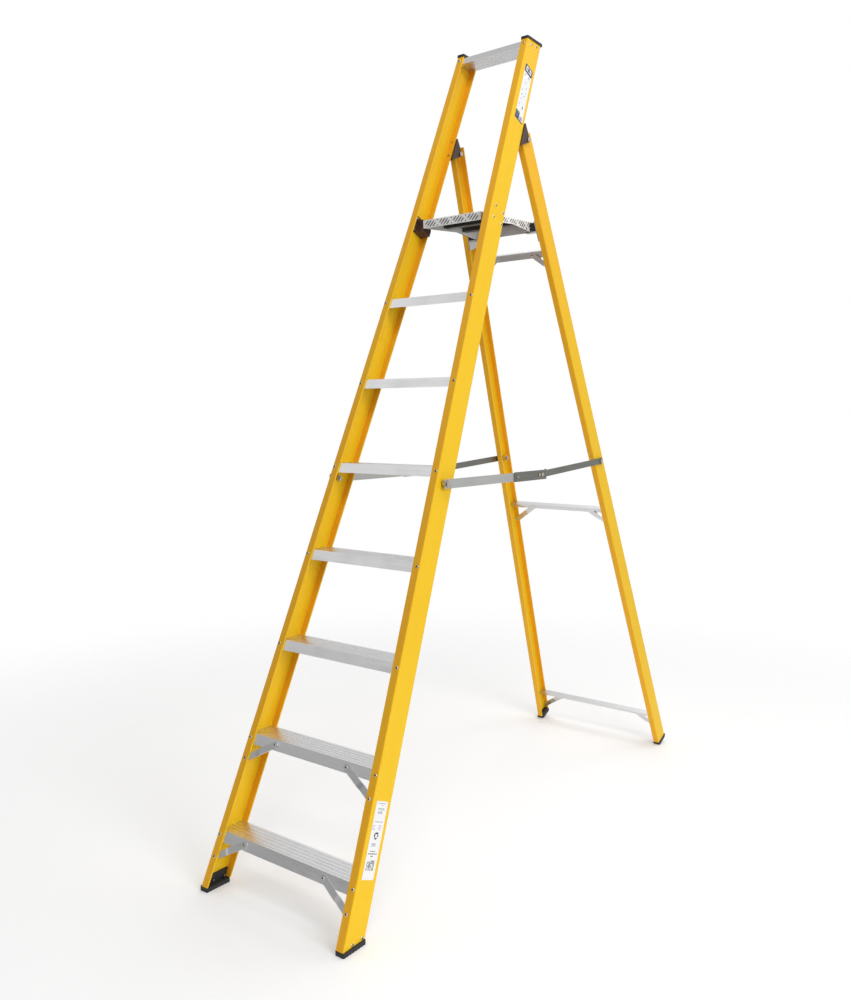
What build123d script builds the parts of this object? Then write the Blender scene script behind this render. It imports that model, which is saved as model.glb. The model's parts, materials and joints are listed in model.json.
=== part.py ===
"""Platform step ladder: a fibreglass front frame with seven treads, a rear frame, a folding
platform and two folding stays.

Millimetres, +Z up. The ladder stands open on Z = 0. X is across the ladder, the climber comes
from -Y, and the middle of the base is at the origin. Places on the front frame are given as
(x, along, deep): across, along the stile from the ground, and behind the stile's front face.
Places on the rear frame are given the same way on the rear leg.
"""
from build123d import *
from math import cos, sin, tan, radians, hypot, atan2, degrees
import os

os.makedirs("parts", exist_ok=True)

# ---------------------------------------------------------------- driving dimensions
SIDES = ((-1, "left"), (1, "right"))

front_lean = radians(22.0)
rear_lean = radians(22.5)
foot_to_foot = 1857.0          # stile front face to rear leg front face, on the ground
front_y = -958.1
rear_y = front_y + foot_to_foot

wall = 4.0                     # of both fibreglass channels
stile_depth = 77.0
stile_flange = 23.6
stile_half_base = 260.5        # outer half width on the ground
stile_half_bend = 152.4        # at the bend under the platform
stile_half_top = 133.4
bend_along = 2051.0
top_along = 2669.0
stile_top_z = 2474.0
corner_round = 3.0
spare = 5.0                    # by which a cutting outline passes the piece it cuts

leg_depth = 61.0
leg_flange = 20.6
leg_half_base = 277.0
leg_taper = 0.0594             # half width lost for each millimetre along the leg
leg_end_along = 10.0
leg_top_along = 2345.0

tread_count = 7
tread_first_z = 153.5
tread_pitch = 250.0
tread_plate = 2.6
skirt_height = 27.5
rear_lip = 12.0
rib_bands = 5
rib_band_pitch = 13.6
rib_grooves = 3
groove_width = 1.3
groove_pitch = 3.4
groove_deep = 0.9
rib_start = 4.5                # from the front edge to the first groove
under_webs = (54.0, 30.0)      # front edge to each web under the plate
under_web_thick = 2.0
under_web_low = 10.0
skirt_hook_at = 24.0
skirt_hook = 3.0

hinge_along = 2375.0           # hinge pin, on the front frame
hinge_deep = 110.5
hinge_pin_radius = 4.0
running_gap = 0.05             # radial clearance of every pin that turns
ear_thick = 3.0
ear_outer_x = 143.0            # inner faces of the two ears of a hinge bracket
ear_inner_x = 115.7
hinge_drill_x = 160.0          # where the pin hole starts, outside the ears

brace_width = 18.0
brace_thick = 3.0
front_brace_reach = 96.0       # across, from the upper rivet to the lower one
front_brace_drop = 56.0
rear_brace_reaches = {"lower": 93.5, "middle": 93.5, "upper": 78.0}
rear_brace_drop = 66.0
front_brace_below = 15.0       # from a tread's top to the upper rivet
rear_brace_below = 13.0        # from a cross member's top to the upper rivet
brace_rivet_inset = 14.0
front_joggle_at = 60.0         # along the brace, from the upper rivet
rear_joggle_at = 52.0
joggle_run = 12.0

member_height = 25.0
member_leaf = 3.0
member_shelf = 20.0
member_lip = 9.0               # at the front edge of the shelf
member_lip_sheet = 2.5
member_tops = {"lower": 114.0, "middle": 1031.0, "upper": 1981.0}

platform_front_z = 1907.9      # top edge of the front skirt
platform_rise = radians(4.0)   # the deck's rear edge sits a little high on its rests
platform_half = 108.0
platform_front = 784.0         # behind the stile's front face on the ground, as are the next ones
platform_length = 299.0
platform_sheet = 3.0
platform_skirt = 25.0          # at the front edge
platform_waist = 18.5          # least depth of the side skirts
platform_waist_at = 182.0
platform_rear_skirt = 33.0
deck_edge_round = 2.0
platform_pivot_y = 809.0
platform_pivot_z = 1897.0
pivot_pin_radius = 5.0
bracket_ear_x = 111.0
rest_sheet = 3.0

stay_front_along = 1207.0      # front pivot on the stile
stay_front_deep = 31.5
stay_rear_along = 1226.0       # rear pivot on the leg
stay_rear_deep = 33.0
stay_joint_y = 990.0           # middle joint, a little below the straight line
stay_joint_z = 1113.5
stay_bolt_radius = 5.0
bolt_clearance = 0.1           # of the holes a bolt is clamped in
stay_thick = 3.0
rear_link_x = 207.5            # inner faces of the layers, outside both frames
front_link_x = 211.0
knuckle_x = 214.0
stay_drill_x = 220.0           # where the bolt holes start, outside both frames
front_link_width = 26.0
rear_link_width = 21.0
knuckle_width = 30.0
knuckle_back = 165.0           # from the joint towards the front pivot
knuckle_ahead = 28.0

rivet_radius = 2.4
rivet_head = 4.6
rivet_hole = 2.5
rivet_head_height = 1.9
rivet_bore = 2.2               # hole left by the broken mandrel
rivet_bore_depth = 2.4
rivet_tail = 3.6
rivet_tail_height = 2.2
rivet_dome = (3.7, 1.1)        # a point on the head's round top
rivet_tail_bevel = 0.4
rivet_drill = 10.0
stay_drill = 45.0

sole_height = 12.0
cap_height = 8.5

# ---------------------------------------------------------------- the two leaning frames
FRONT = Plane(origin=(0, front_y, 0), x_dir=(1, 0, 0), z_dir=(0, -cos(front_lean), sin(front_lean)))
REAR = Plane(origin=(0, rear_y, 0), x_dir=(1, 0, 0), z_dir=(0, -cos(rear_lean), -sin(rear_lean)))


def stile_half(along):
    """Outer half width of the front frame, which bends under the platform."""
    if along <= bend_along:
        return stile_half_base + (stile_half_bend - stile_half_base) * along / bend_along
    share = (along - bend_along) / (top_along - bend_along)
    return stile_half_bend + (stile_half_top - stile_half_bend) * share


def leg_half(along):
    """Outer half width of the rear frame."""
    return leg_half_base - leg_taper * along


def place(frame, x, along, deep):
    """Global point of a place on a frame."""
    return frame.from_local_coords(Vector(x, along, -deep))


def face_plane(frame, x, along, deep, facing=1):
    """Plane on a flange face: its normal looks out of the frame's front, or its back."""
    return Plane(origin=place(frame, x, along, deep), x_dir=(1, 0, 0), z_dir=frame.z_dir * facing)


def web_plane(frame, half, side, along, deep, facing=1):
    """Plane on a web's outer face, looking away from the middle of the ladder."""
    slope = half(along) - half(along + 1)
    out = Vector(frame.x_dir) * side + Vector(frame.y_dir) * slope
    point = place(frame, side * half(along), along, deep)
    return Plane(origin=point, x_dir=frame.z_dir, z_dir=out.normalized() * facing)


def strip(half, side, inset_out, inset_in, levels):
    """Outline of a strip along a stile or leg, between two insets from its outer face."""
    outer = [(side * (half(level) - inset_out), level) for level in levels]
    inner = [(side * (half(level) - inset_in), level) for level in reversed(levels)]
    return outer + inner


def save(piece, label):
    """Name one finished piece and write it."""
    piece.part.label = label
    export_step(piece.part, f"parts/{label}.step")


# ---------------------------------------------------------------- rivets
def make_rivet(grip):
    """Blind rivet: head underside on Z = 0, shank pointing down through the grip."""
    tail = -grip - rivet_tail_height
    with BuildPart() as rivet:
        with BuildSketch(Plane.XZ):
            with BuildLine():
                Polyline((0, -rivet_bore_depth), (rivet_bore, -rivet_bore_depth),
                         (rivet_bore, rivet_head_height))
                ThreePointArc((rivet_bore, rivet_head_height), rivet_dome, (rivet_head, 0))
                Polyline((rivet_head, 0), (rivet_radius, 0), (rivet_radius, -grip), (rivet_tail, -grip),
                         (rivet_tail - rivet_tail_bevel, tail), (0, tail), (0, -rivet_bore_depth))
            make_face()
        revolve(axis=Axis.Z)
    return rivet.part


def tread_top_along(index):
    """Where the back of the flange meets a tread's top, along the stile."""
    top_z = tread_first_z + index * tread_pitch
    return (top_z + wall * sin(front_lean)) / cos(front_lean)


def tread_rivet_spots(index):
    """(along, deep, facing) of a tread's rivets: front flange, then rear flange."""
    top = tread_top_along(index)
    rear_along = top + (stile_depth - 2 * wall) * tan(front_lean)
    return ((top - skirt_rivet_below, 0.0, 1), (rear_along - lip_rivet_below, stile_depth, -1))


skirt_rivet_below = 13.0       # from a tread's top to the rivet through its skirt
lip_rivet_below = 8.6          # and to the rivet through its rear lip
tread_rivet_inset = 8.5
tread_rivet_planes = []
for index in range(tread_count):
    for side, hand in SIDES:
        for along, deep, facing in tread_rivet_spots(index):
            x = side * (stile_half(along) - tread_rivet_inset)
            tread_rivet_planes.append(face_plane(FRONT, x, along, deep, facing))

crossbar_top_z = 2469.0
crossbar_rivet_below = 9.0
crossbar_rivet_inset = 11.0
crossbar_rivet_along = (crossbar_top_z - crossbar_rivet_below) / cos(front_lean)
for side, hand in SIDES:
    x = side * (stile_half(crossbar_rivet_along) - crossbar_rivet_inset)
    tread_rivet_planes.append(face_plane(FRONT, x, crossbar_rivet_along, 0.0))


def brace_ends(half, upper_along, reach, drop):
    """Upper and lower rivet of a right-hand knee brace, as (x, along)."""
    lower_along = upper_along - drop
    lower_x = half(lower_along) - brace_rivet_inset
    return (lower_x - reach, upper_along), (lower_x, lower_along)


front_braces = {index + 1: brace_ends(stile_half, tread_top_along(index) - front_brace_below,
                                      front_brace_reach, front_brace_drop)
                for index in range(2)}
rear_braces = {name: brace_ends(leg_half, top - rear_brace_below, rear_brace_reaches[name], rear_brace_drop)
               for name, top in member_tops.items()}

skirt_face = wall                                  # depth of the tread skirt's front face
leaf_face = leg_depth - wall - member_leaf         # depth of a rear member's front face
front_brace_planes = []
rear_brace_planes = []
for side, hand in SIDES:
    for upper, lower in front_braces.values():
        front_brace_planes.append(face_plane(FRONT, side * upper[0], upper[1], skirt_face - brace_thick))
        front_brace_planes.append(face_plane(FRONT, side * lower[0], lower[1], 0.0))
    for upper, lower in rear_braces.values():
        rear_brace_planes.append(face_plane(REAR, side * upper[0], upper[1], leaf_face - brace_thick))
        rear_brace_planes.append(face_plane(REAR, side * lower[0], lower[1], leg_depth, -1))

member_rivet_below = 7.0       # from a cross member's top
member_rivet_inset = 11.0
member_rivet_planes = []
for side, hand in SIDES:
    for top in member_tops.values():
        x = side * (leg_half(top - member_rivet_below) - member_rivet_inset)
        member_rivet_planes.append(face_plane(REAR, x, top - member_rivet_below, leg_depth, -1))

foot_rivet_spots = ((31.0, 30.0), (45.0, 64.0))
cap_rivet_spots = ((2664.0, 26.0), (2678.0, 54.0))
platform_rivet_spots = tuple((along, deep) for along in (2044.0, 2083.0) for deep in (23.0, 66.0))
web_rivet_spots = foot_rivet_spots + cap_rivet_spots + platform_rivet_spots
web_rivet_planes = [web_plane(FRONT, stile_half, side, along, deep)
                    for side, hand in SIDES for along, deep in web_rivet_spots]

hinge_rivet_alongs = (2346.0, 2397.0)
hinge_rivet_x = 129.0
hinge_rivet_planes = [face_plane(FRONT, side * hinge_rivet_x, along, stile_depth + ear_thick, -1)
                      for side, hand in SIDES for along in hinge_rivet_alongs]

rest_rivet_alongs = (2030.0, 2068.0)
rest_rivet_inset = 13.0
rest_rivet_planes = [face_plane(REAR, side * (leg_half(along) - rest_rivet_inset), along,
                                leg_depth + rest_sheet, -1)
                     for side, hand in SIDES for along in rest_rivet_alongs]

# ---------------------------------------------------------------- pivots
hinge_point = place(FRONT, 0, hinge_along, hinge_deep)
stay_front_point = place(FRONT, 0, stay_front_along, stay_front_deep)
stay_rear_point = place(REAR, 0, stay_rear_along, stay_rear_deep)
stay_joint_point = Vector(0, front_y + stay_joint_y, stay_joint_z)
platform_pivot = Vector(0, front_y + platform_pivot_y, platform_pivot_z)


def cross_plane(point, x, facing=1):
    """Plane across the ladder at x, through a pivot's point, looking along +X or -X."""
    return Plane(origin=(x, point.Y, point.Z), x_dir=(0, 1, 0), z_dir=(facing, 0, 0))


# ---------------------------------------------------------------- front stiles
def is_outer_edge(frame, half, edge):
    """True for the long edges along a channel's outer face."""
    local = frame.to_local_coords(edge.center())
    return edge.length > 300 and abs(local.X) > half(local.Y) - 1.0


stile_levels = (-40.0, bend_along, top_along + 60.0)
for side, hand in SIDES:
    with BuildPart() as stile:
        with BuildSketch(FRONT):
            with BuildLine():
                Polyline(*strip(stile_half, side, 0, stile_flange, stile_levels), close=True)
            make_face()
        extrude(amount=-stile_depth)
        fillet(stile.edges().filter_by(lambda e: is_outer_edge(FRONT, stile_half, e)), corner_round)
        with BuildSketch(FRONT.offset(-wall)):
            with BuildLine():
                Polyline(*strip(stile_half, side, wall, stile_flange + spare, stile_levels), close=True)
            make_face()
        extrude(amount=-(stile_depth - 2 * wall), mode=Mode.SUBTRACT)
        split(bisect_by=Plane.XY.offset(stile_top_z), keep=Keep.BOTTOM)
        split(bisect_by=Plane.XY.offset(sole_height), keep=Keep.TOP)
        flange_planes = [plane for plane in tread_rivet_planes + front_brace_planes + hinge_rivet_planes
                         if plane.origin.X * side > stile_half(FRONT.to_local_coords(plane.origin).Y) - 22]
        with Locations(*flange_planes):
            Hole(radius=rivet_hole, depth=rivet_drill)
        with Locations(*[plane for plane in web_rivet_planes if plane.origin.X * side > 0]):
            Hole(radius=rivet_hole, depth=rivet_drill)
        with Locations(cross_plane(stay_front_point, side * stay_drill_x, side)):
            Hole(radius=stay_bolt_radius + bolt_clearance, depth=stay_drill)
    save(stile, f"front_stile_{hand}")


# ---------------------------------------------------------------- treads
def tread_outline(top_z):
    """Section of a tread as (y, z): ribbed plate, leaning front skirt, rear lip and two webs."""
    lean = tan(front_lean)
    skirt_u = wall / cos(front_lean)
    back_u = (stile_depth - wall) / cos(front_lean)
    skirt_thick = tread_plate / cos(front_lean)
    first_u = skirt_u + rib_start
    top = [(skirt_u, 0.0)]
    for band in range(rib_bands):
        for groove in range(rib_grooves):
            start = first_u + band * rib_band_pitch + groove * groove_pitch
            top += [(start, 0), (start, -groove_deep)]
            top += [(start + groove_width, -groove_deep), (start + groove_width, 0)]
    top.append((back_u, 0.0))
    below = [(back_u - rear_lip * lean, -rear_lip),
             (back_u - rear_lip * lean - skirt_thick, -rear_lip),
             (back_u - tread_plate * lean - skirt_thick, -tread_plate)]
    for web_u in under_webs:
        below += [(web_u + under_web_thick, -tread_plate), (web_u + under_web_thick, -under_web_low),
                  (web_u, -under_web_low), (web_u, -tread_plate)]
    hook_u = skirt_u - skirt_hook_at * lean + skirt_thick
    below += [(skirt_u - tread_plate * lean + skirt_thick, -tread_plate),
              (hook_u, -skirt_hook_at),
              (hook_u + skirt_hook, -skirt_hook_at),
              (skirt_u - skirt_height * lean + skirt_thick + skirt_hook, -skirt_height),
              (skirt_u - skirt_height * lean, -skirt_height)]
    front_at_top = front_y + top_z * lean
    return [(front_at_top + u, top_z + v) for u, v in top + below]


def between_webs(half, low, high):
    """Outline of the space between two webs, on the plane of their frame."""
    right = [(half(level) - wall, level) for level in (low, high)]
    left = [(-x, level) for x, level in reversed(right)]
    return right + left


for index in range(tread_count):
    top_z = tread_first_z + index * tread_pitch
    with BuildPart() as tread:
        with BuildSketch(Plane.YZ):
            with BuildLine():
                Polyline(*tread_outline(top_z), close=True)
            make_face()
        extrude(amount=stile_half_base, both=True)
        with BuildSketch(FRONT):
            with BuildLine():
                along = tread_top_along(index)
                Polyline(*between_webs(stile_half, along - 60, along + 60), close=True)
            make_face()
        extrude(amount=-stile_depth, mode=Mode.INTERSECT)
        own_planes = [plane for plane in tread_rivet_planes + front_brace_planes
                      if abs(plane.origin.Z - top_z) < 40]
        with Locations(*own_planes):
            Hole(radius=rivet_hole, depth=9.5)
    save(tread, f"tread_{index + 1}")


# ---------------------------------------------------------------- top crossbar
def crossbar_outline():
    """Section of the crossbar as (y, z): the tread's section upside down, ribs facing down."""
    lean = tan(front_lean)
    height = 22.0
    floor_z = crossbar_top_z - height
    front_u = front_y + wall / cos(front_lean)
    skirt_thick = tread_plate / cos(front_lean)
    front_low = front_u + floor_z * lean
    back_low = front_low + (stile_depth - 2 * wall) / cos(front_lean)
    points = [(front_low, floor_z)]
    for band in range(rib_bands):
        for groove in range(rib_grooves):
            start = front_low + rib_start + band * rib_band_pitch + groove * groove_pitch
            points += [(start, floor_z), (start, floor_z + groove_deep)]
            points += [(start + groove_width, floor_z + groove_deep), (start + groove_width, floor_z)]
    points += [(back_low, floor_z),
               (back_low + rear_lip * lean, floor_z + rear_lip),
               (back_low + rear_lip * lean - skirt_thick, floor_z + rear_lip),
               (back_low + tread_plate * lean - skirt_thick, floor_z + tread_plate),
               (front_low + tread_plate * lean + skirt_thick, floor_z + tread_plate),
               (front_low + height * lean + skirt_thick, crossbar_top_z),
               (front_low + height * lean, crossbar_top_z)]
    return points


with BuildPart() as top_crossbar:
    with BuildSketch(Plane.YZ):
        with BuildLine():
            Polyline(*crossbar_outline(), close=True)
        make_face()
    extrude(amount=stile_half_base, both=True)
    with BuildSketch(FRONT):
        with BuildLine():
            Polyline(*between_webs(stile_half, top_along - 80, top_along + 60), close=True)
        make_face()
    extrude(amount=-stile_depth, mode=Mode.INTERSECT)
    with Locations(*[plane for plane in tread_rivet_planes if plane.origin.Z > 2400]):
        Hole(radius=rivet_hole, depth=9.0)
save(top_crossbar, "top_crossbar")


# ---------------------------------------------------------------- knee braces
def make_brace(frame, side, ends, upper_deep, step_at):
    """Flat bar with a joggle: the upper end lies one thickness nearer the front than the lower."""
    upper, lower = ends
    start = place(frame, side * upper[0], upper[1], upper_deep)
    end = place(frame, side * lower[0], lower[1], upper_deep)
    run = end - start
    length = run.length
    back = Vector(frame.z_dir) * -1
    rounding = brace_width / 2
    side_view = Plane(origin=start, x_dir=run.normalized(), z_dir=run.normalized().cross(back))
    step_end = step_at + joggle_run
    with BuildPart() as brace:
        with BuildSketch(side_view):
            with BuildLine():
                Polyline((-rounding, 0), (step_at, 0), (step_end, brace_thick),
                         (length + rounding, brace_thick), (length + rounding, 2 * brace_thick),
                         (step_end - 1.0, 2 * brace_thick), (step_at - 1.0, brace_thick),
                         (-rounding, brace_thick), close=True)
            make_face()
        extrude(amount=rounding, both=True)
        with BuildSketch(Plane(origin=start, x_dir=run.normalized(), z_dir=frame.z_dir)):
            with Locations((length / 2, 0)):
                SlotCenterToCenter(length, brace_width)
        extrude(amount=20.0, both=True, mode=Mode.INTERSECT)
        with Locations(Plane(origin=start - back * 5, x_dir=(1, 0, 0), z_dir=frame.z_dir),
                       Plane(origin=end - back * 5, x_dir=(1, 0, 0), z_dir=frame.z_dir)):
            Hole(radius=rivet_hole, depth=20.0)
    return brace


for number, ends in front_braces.items():
    for side, hand in SIDES:
        brace = make_brace(FRONT, side, ends, skirt_face - brace_thick, front_joggle_at)
        save(brace, f"knee_brace_{number}_{hand}")

for name, ends in rear_braces.items():
    for side, hand in SIDES:
        brace = make_brace(REAR, side, ends, leaf_face - brace_thick, rear_joggle_at)
        save(brace, f"rear_brace_{name}_{hand}")

# ---------------------------------------------------------------- front feet
sole_front = 3.5               # behind the stile's front face on the ground
sole_back = 85.5
sole_width = 29.0
sole_overhang = 3.0
upstand_top_z = 36.0
upstand_sheet = 5.0
upstand_side_gap = 4.0
sole_corner = 4.0
sole_grooves = 7
sole_groove_first = 11.0
sole_groove_pitch = 10.0
sole_groove_width = 2.4
sole_groove_deep = 1.6
for side, hand in SIDES:
    sole_x = side * (stile_half(0) + sole_overhang - sole_width / 2)
    with BuildPart() as foot:
        with BuildSketch(FRONT.offset(-wall - upstand_side_gap)):
            with BuildLine():
                Polyline(*strip(stile_half, side, wall, wall + upstand_sheet, (-30.0, 90.0)), close=True)
            make_face()
        extrude(amount=-(stile_depth - 2 * (wall + upstand_side_gap)))
        split(bisect_by=Plane.XY.offset(upstand_top_z), keep=Keep.BOTTOM)
        split(bisect_by=Plane.XY.offset(sole_height), keep=Keep.TOP)
        with Locations(*[plane for plane in web_rivet_planes if plane.origin.X * side > 0]):
            Hole(radius=rivet_hole, depth=rivet_drill)
        with BuildSketch(Plane.XY):
            with Locations((sole_x, front_y + (sole_front + sole_back) / 2)):
                RectangleRounded(sole_width, sole_back - sole_front, sole_corner)
        extrude(amount=sole_height)
        with BuildSketch(Plane.XY):
            first_y = front_y + sole_front + sole_groove_first
            with Locations(*[(sole_x, first_y + sole_groove_pitch * step) for step in range(sole_grooves)]):
                Rectangle(sole_width + spare, sole_groove_width)
        extrude(amount=sole_groove_deep, mode=Mode.SUBTRACT)
    save(foot, f"foot_front_{hand}")

# ---------------------------------------------------------------- top caps
cap_side = 1.8
cap_front = 1.5
cap_back = 6.0
tab_low_z = 2452.0
tab_sheet = 4.0
tab_side_gap = 8.0
cap_corner = 4.0
cap_edge_round = 1.8
for side, hand in SIDES:
    outer_x = stile_half(top_along) + cap_side
    inner_x = stile_half(top_along) - stile_flange - cap_side
    front_edge = front_y + stile_top_z * tan(front_lean) - cap_front
    back_edge = front_edge + stile_depth / cos(front_lean) + cap_front + cap_back
    with BuildPart() as cap:
        with BuildSketch(Plane.XY.offset(stile_top_z)):
            with Locations((side * (outer_x + inner_x) / 2, (front_edge + back_edge) / 2)):
                RectangleRounded(outer_x - inner_x, back_edge - front_edge, cap_corner)
        extrude(amount=cap_height)
        fillet(cap.edges().group_by(Axis.Z)[-1], cap_edge_round)
        with BuildSketch(FRONT.offset(-wall - tab_side_gap)):
            with BuildLine():
                Polyline(*strip(stile_half, side, wall, wall + tab_sheet, (2600.0, 2760.0)), close=True)
            make_face()
        extrude(amount=-(stile_depth - 2 * (wall + tab_side_gap)))
        split(bisect_by=Plane.XY.offset(stile_top_z + cap_height), keep=Keep.BOTTOM)
        split(bisect_by=Plane.XY.offset(tab_low_z), keep=Keep.TOP)
        with Locations(*[plane for plane in web_rivet_planes if plane.origin.X * side > 0]):
            Hole(radius=rivet_hole, depth=rivet_drill)
    save(cap, f"top_cap_{hand}")


# ---------------------------------------------------------------- hinges
def side_plane(frame, x):
    """Plane across the ladder at x whose sketch coordinates are (deep, along)."""
    return Plane(origin=(x, frame.origin.Y, 0), x_dir=frame.z_dir * -1, z_dir=(1, 0, 0))


def layer_plane(x):
    """Plane across the ladder at x whose sketch coordinates are the global (y, z)."""
    return Plane(origin=(x, 0, 0), x_dir=(0, 1, 0), z_dir=(1, 0, 0))


bracket_low = 2330.0
bracket_high = 2410.0
bracket_tip = (124.0, 2376.0)
bracket_tip_radius = 9.0
hinge_head_radius = 7.5
hinge_head_bevel = 0.8
head_gap = 0.2                 # between a pin's head and what it holds
hinge_head = 4.0
hinge_nut = 3.0
for side, hand in SIDES:
    with BuildPart() as bracket:
        plate_low_x = ear_inner_x - ear_thick
        plate_high_x = ear_outer_x + ear_thick
        with BuildSketch(FRONT.offset(-stile_depth)):
            with Locations((side * (plate_low_x + plate_high_x) / 2, (bracket_low + bracket_high) / 2)):
                Rectangle(plate_high_x - plate_low_x, bracket_high - bracket_low)
        extrude(amount=-ear_thick)
        for ear_x in (ear_inner_x - ear_thick, ear_outer_x):
            with BuildSketch(side_plane(FRONT, side * ear_x)) as ear:
                with BuildLine():
                    Polyline((stile_depth, bracket_low), (stile_depth, bracket_high), bracket_tip, close=True)
                make_face()
                fillet(ear.vertices().sort_by(Axis.X)[-1], bracket_tip_radius)
            extrude(amount=side * ear_thick)
        with Locations(cross_plane(hinge_point, side * hinge_drill_x, side)):
            Hole(radius=hinge_pin_radius + running_gap, depth=60.0)
        with Locations(*[plane for plane in hinge_rivet_planes if plane.origin.X * side > 0]):
            Hole(radius=rivet_hole, depth=rivet_drill)
    save(bracket, f"hinge_bracket_{hand}")


def make_pin(point, side, stations):
    """Turned pin across the ladder: stations are (x, radius) from the middle outwards."""
    with BuildPart() as pin:
        for (start_x, radius), (end_x, unused) in zip(stations, stations[1:]):
            with BuildSketch(layer_plane(side * start_x)):
                with Locations((point.Y, point.Z)):
                    Circle(radius)
            extrude(amount=side * (end_x - start_x))
    return pin


for side, hand in SIDES:
    hinge_pin = make_pin(hinge_point, side, (
        (ear_inner_x - ear_thick - head_gap - hinge_head, hinge_head_radius),
        (ear_inner_x - ear_thick - head_gap, hinge_pin_radius),
        (ear_outer_x + ear_thick + head_gap, hinge_head_radius),
        (ear_outer_x + ear_thick + head_gap + hinge_nut, 0)))
    heads = hinge_pin.edges().filter_by(GeomType.CIRCLE).filter_by(lambda e: e.radius > hinge_pin_radius + 1)
    chamfer(heads, hinge_head_bevel)
    save(hinge_pin, f"hinge_pin_{hand}")

# ---------------------------------------------------------------- platform brackets and pivots
bracket_front = 20.0
bracket_back = 64.0
bracket_crown = 2091.0
box_low = 2036.0
box_high = 2073.0
front_plate_deep = 28.0
front_plate_crown = 2084.0
bracket_side_gap = 8.0
bracket_sheet = 3.0
ear_back_height = 20.0
ear_back_bevel = 10.0
ear_front_bevel = 14.0
pivot_collar_radius = 8.0
pivot_head = 3.2
pivot_nut = 3.0
collar_gap = 0.3
for side, hand in SIDES:
    with BuildPart() as bracket:
        with BuildSketch(FRONT.offset(-bracket_side_gap)):
            with BuildLine():
                levels = (box_low, bend_along, bracket_crown)
                Polyline(*strip(stile_half, side, wall, wall + bracket_sheet, levels), close=True)
            make_face()
        extrude(amount=-(stile_depth - 2 * bracket_side_gap))
        corners = [(side * bracket_ear_x, box_low), (side * bracket_ear_x, box_high)]
        corners += [(side * (stile_half(level) - wall - 1), level)
                    for level in (front_plate_crown, bend_along, box_low)]
        with BuildSketch(FRONT.offset(-front_plate_deep)):
            with BuildLine():
                Polyline(*corners, close=True)
            make_face()
        extrude(amount=-ear_thick)
        with BuildSketch(FRONT.offset(-front_plate_deep)):
            with BuildLine():
                floor = [(side * bracket_ear_x, box_low), (side * (stile_half(box_low) - wall - 1), box_low)]
                Polyline(*floor, *[(x, along + ear_thick) for x, along in reversed(floor)], close=True)
            make_face()
        extrude(amount=-(bracket_back - front_plate_deep))
        with BuildSketch(side_plane(FRONT, side * bracket_ear_x)):
            with BuildLine():
                Polyline((bracket_front, box_low), (bracket_back, box_low),
                         (bracket_back, box_low + ear_back_height),
                         (bracket_back - ear_back_bevel, box_high), (front_plate_deep, box_high),
                         (bracket_front, box_high - ear_front_bevel), close=True)
            make_face()
        extrude(amount=side * ear_thick)
        with Locations(cross_plane(platform_pivot, side * 125, side)):
            Hole(radius=pivot_pin_radius + running_gap, depth=30.0)
        with Locations(*[plane for plane in web_rivet_planes if plane.origin.X * side > 0]):
            Hole(radius=rivet_hole, depth=rivet_drill)
    save(bracket, f"platform_bracket_{hand}")

for side, hand in SIDES:
    flange_inner = platform_half - platform_sheet
    platform_pin = make_pin(platform_pivot, side, (
        (flange_inner - collar_gap - pivot_head, pivot_collar_radius),
        (flange_inner - collar_gap, pivot_pin_radius),
        (platform_half + collar_gap, pivot_collar_radius),
        (bracket_ear_x - head_gap, pivot_pin_radius),
        (bracket_ear_x + ear_thick + head_gap, pivot_collar_radius),
        (bracket_ear_x + ear_thick + head_gap + pivot_nut, 0)))
    save(platform_pin, f"platform_pin_{hand}")

# ---------------------------------------------------------------- platform
DECK = Plane(origin=(0, front_y + platform_front, platform_front_z), x_dir=(1, 0, 0),
             z_dir=(0, -sin(platform_rise), cos(platform_rise)))
DECK_SIDE = Plane(origin=DECK.origin, x_dir=DECK.y_dir, z_dir=(1, 0, 0))


def is_deck_edge(edge):
    """True for the edges of the deck's top face."""
    return abs(DECK.to_local_coords(edge.center()).Z) < 0.01


with BuildPart() as platform_plate:
    with BuildSketch(DECK_SIDE):
        with BuildLine():
            Polyline((0, 0), (platform_length, 0), (platform_length, -platform_rear_skirt),
                     (platform_waist_at, -platform_waist), (0, -platform_skirt), close=True)
        make_face()
    extrude(amount=platform_half, both=True)
    fillet(platform_plate.edges().filter_by(is_deck_edge), deck_edge_round)
    with BuildSketch(DECK.offset(-platform_sheet)):
        with Locations((0, platform_length / 2)):
            Rectangle(2 * (platform_half - platform_sheet), platform_length - 2 * platform_sheet)
    extrude(amount=-platform_rear_skirt, mode=Mode.SUBTRACT)
    with Locations(cross_plane(platform_pivot, 125, 1)):
        Hole(radius=pivot_pin_radius + running_gap, depth=250.0)
save(platform_plate, "platform_plate")

stiffener_height = 12.0
stiffener_width = 26.0
stiffener_sheet = 2.0
stiffener_gap = 1.0            # at the side skirts
stiffener_starts = (107.0, 209.0)
with BuildPart() as platform_stiffeners:
    for start in stiffener_starts:
        end = start + stiffener_width
        roof = -platform_sheet
        floor = roof - stiffener_height
        with BuildSketch(DECK_SIDE):
            with BuildLine():
                Polyline((start, floor), (end, floor), (end, roof), (end - stiffener_sheet, roof),
                         (end - stiffener_sheet, floor + stiffener_sheet),
                         (start + stiffener_sheet, floor + stiffener_sheet),
                         (start + stiffener_sheet, roof), (start, roof), close=True)
            make_face()
        extrude(amount=platform_half - platform_sheet - stiffener_gap, both=True)
save(platform_stiffeners, "platform_stiffeners")

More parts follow.
